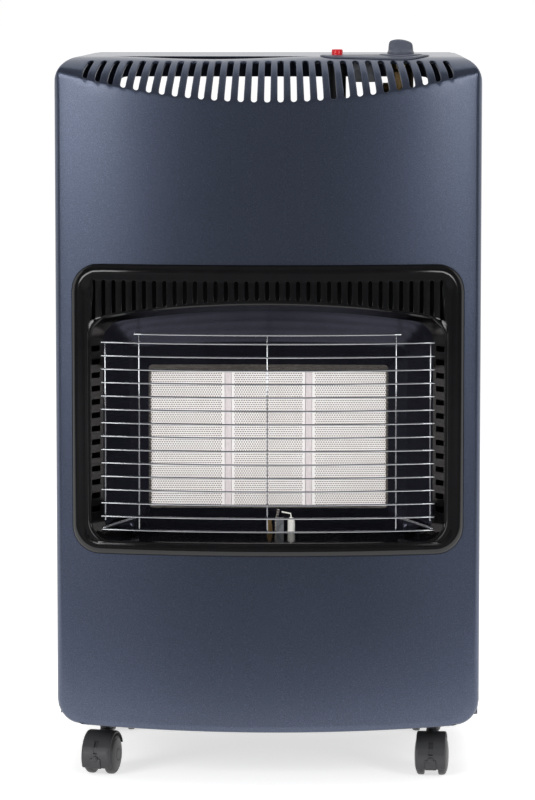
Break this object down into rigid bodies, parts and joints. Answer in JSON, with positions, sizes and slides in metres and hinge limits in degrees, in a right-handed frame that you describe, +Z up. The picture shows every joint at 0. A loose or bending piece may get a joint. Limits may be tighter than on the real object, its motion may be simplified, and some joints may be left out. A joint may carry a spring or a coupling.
{
  "type": "portable gas cabinet heater",
  "caption": "Bowed steel cabinet heater on swivel castors, with a guarded ceramic radiant burner, top controls and a tilting rear cover over its cylinder bay.",
  "frame": {"origin": "centre of the bounding box at floor level, under the wheels", "axes": "+Z up, the burner faces -Y, +X is to the right seen from the front"},
  "size_m": [0.42, 0.4092, 0.739],
  "materials": {
    "paint": "satin metallic",
    "enamel": "gloss",
    "polished_steel": "polished",
    "chrome": "polished",
    "stainless": "brushed",
    "galvanised": "satin",
    "ceramic": "matte",
    "fibre": "matte",
    "aluminium": "satin",
    "brass": "satin",
    "steel": "satin",
    "porcelain": "gloss",
    "control_plastic": "satin",
    "black_plastic": "satin",
    "castor_plastic": "satin",
    "red_plastic": "gloss"
  },
  "bodies": {
    "cabinet": {"front_panel": "paint", "body_wrapper": "paint", "rear_frame": "paint", "base_tray": "paint", "bezel": "enamel", "reflector": "polished_steel", "fire_guard": "chrome", "guard_stay_left": "chrome", "guard_stay_right": "chrome", "burner_frame": "stainless", "ceramic_plaque_left": "ceramic", "ceramic_plaque_centre": "ceramic", "ceramic_plaque_right": "ceramic", "plaque_gasket_left": "fibre", "plaque_gasket_right": "fibre", "burner_box": "galvanised", "mixing_tube_left": "aluminium", "mixing_tube_centre": "aluminium", "mixing_tube_right": "aluminium", "injector_rail": "galvanised", "heat_shield": "galvanised", "pilot_bracket": "galvanised", "pilot_burner": "brass", "thermocouple": "stainless", "ignition_electrode": "porcelain", "control_plate": "control_plastic", "valve_bracket": "paint", "gas_valve": "brass", "hose_nozzle": "brass", "piezo_igniter": "black_plastic", "piezo_nut": "black_plastic", "gas_pipe_left": "aluminium", "gas_pipe_centre": "aluminium", "gas_pipe_right": "aluminium", "pilot_pipe": "aluminium", "castor_stem_front_left": "steel", "castor_stem_front_right": "steel", "castor_stem_rear_left": "steel", "castor_stem_rear_right": "steel"},
    "rear_cover": {"rear_cover": "paint"},
    "plunger": {"valve_plunger": "brass"},
    "knob": {"control_knob": "control_plastic", "valve_spindle": "steel"},
    "igniter_button": {"piezo_button": "red_plastic"},
    "castor_front_left": {"castor_hood_front_left": "black_plastic", "castor_axle_front_left": "steel"},
    "wheel_front_left_l": {"castor_wheel_front_left_l": "castor_plastic"},
    "wheel_front_left_r": {"castor_wheel_front_left_r": "castor_plastic"},
    "castor_front_right": {"castor_hood_front_right": "black_plastic", "castor_axle_front_right": "steel"},
    "wheel_front_right_l": {"castor_wheel_front_right_l": "castor_plastic"},
    "wheel_front_right_r": {"castor_wheel_front_right_r": "castor_plastic"},
    "castor_rear_left": {"castor_hood_rear_left": "black_plastic", "castor_axle_rear_left": "steel"},
    "wheel_rear_left_l": {"castor_wheel_rear_left_l": "castor_plastic"},
    "wheel_rear_left_r": {"castor_wheel_rear_left_r": "castor_plastic"},
    "castor_rear_right": {"castor_hood_rear_right": "black_plastic", "castor_axle_rear_right": "steel"},
    "wheel_rear_right_l": {"castor_wheel_rear_right_l": "castor_plastic"},
    "wheel_rear_right_r": {"castor_wheel_rear_right_r": "castor_plastic"}
  },
  "joints": [
    {"name": "rear_cover_tilt", "type": "hinge", "parent": "cabinet", "child": "rear_cover", "pos_m": [0, 0.1802, 0.065], "axis": [-1, 0, 0], "range_deg": [0, 75]},
    {"name": "knob_push", "type": "slide", "parent": "cabinet", "child": "plunger", "axis": [0, 0, 1], "range_m": [-0.003, 0], "stiffness_N_per_m": 2500, "springref_m": 0.001},
    {"name": "knob_turn", "type": "hinge", "parent": "plunger", "child": "knob", "pos_m": [0.1305, -0.1211, 0.725], "axis": [0, 0, 1], "range_deg": [-225, 0]},
    {"name": "igniter_push", "type": "slide", "parent": "cabinet", "child": "igniter_button", "axis": [0, 0, 1], "range_m": [-0.005, 0], "stiffness_N_per_m": 1500, "springref_m": 0.001},
    {"name": "castor_front_left_swivel", "type": "hinge", "parent": "cabinet", "child": "castor_front_left", "pos_m": [-0.165, -0.1051, 0.044], "axis": [0, 0, 1], "continuous": true},
    {"name": "wheel_front_left_l_spin", "type": "hinge", "parent": "castor_front_left", "child": "wheel_front_left_l", "pos_m": [-0.16811, -0.11669, 0.02], "axis": [0.9659, -0.2588, 0], "continuous": true},
    {"name": "wheel_front_left_r_spin", "type": "hinge", "parent": "castor_front_left", "child": "wheel_front_left_r", "pos_m": [-0.16811, -0.11669, 0.02], "axis": [0.9659, -0.2588, 0], "continuous": true},
    {"name": "castor_front_right_swivel", "type": "hinge", "parent": "cabinet", "child": "castor_front_right", "pos_m": [0.165, -0.1051, 0.044], "axis": [0, 0, 1], "continuous": true},
    {"name": "wheel_front_right_l_spin", "type": "hinge", "parent": "castor_front_right", "child": "wheel_front_right_l", "pos_m": [0.16416, -0.11707, 0.02], "axis": [0.9976, -0.0698, 0], "continuous": true},
    {"name": "wheel_front_right_r_spin", "type": "hinge", "parent": "castor_front_right", "child": "wheel_front_right_r", "pos_m": [0.16416, -0.11707, 0.02], "axis": [0.9976, -0.0698, 0], "continuous": true},
    {"name": "castor_rear_left_swivel", "type": "hinge", "parent": "cabinet", "child": "castor_rear_left", "pos_m": [-0.165, 0.1329, 0.044], "axis": [0, 0, 1], "continuous": true},
    {"name": "wheel_rear_left_l_spin", "type": "hinge", "parent": "castor_rear_left", "child": "wheel_rear_left_l", "pos_m": [-0.16292, 0.12108, 0.02], "axis": [0.9848, 0.1736, 0], "continuous": true},
    {"name": "wheel_rear_left_r_spin", "type": "hinge", "parent": "castor_rear_left", "child": "wheel_rear_left_r", "pos_m": [-0.16292, 0.12108, 0.02], "axis": [0.9848, 0.1736, 0], "continuous": true},
    {"name": "castor_rear_right_swivel", "type": "hinge", "parent": "cabinet", "child": "castor_rear_right", "pos_m": [0.165, 0.1329, 0.044], "axis": [0, 0, 1], "continuous": true},
    {"name": "wheel_rear_right_l_spin", "type": "hinge", "parent": "castor_rear_right", "child": "wheel_rear_right_l", "pos_m": [0.16333, 0.12102, 0.02], "axis": [0.9903, -0.1392, 0], "continuous": true},
    {"name": "wheel_rear_right_r_spin", "type": "hinge", "parent": "castor_rear_right", "child": "wheel_rear_right_r", "pos_m": [0.16333, 0.12102, 0.02], "axis": [0.9903, -0.1392, 0], "continuous": true}
  ]
}
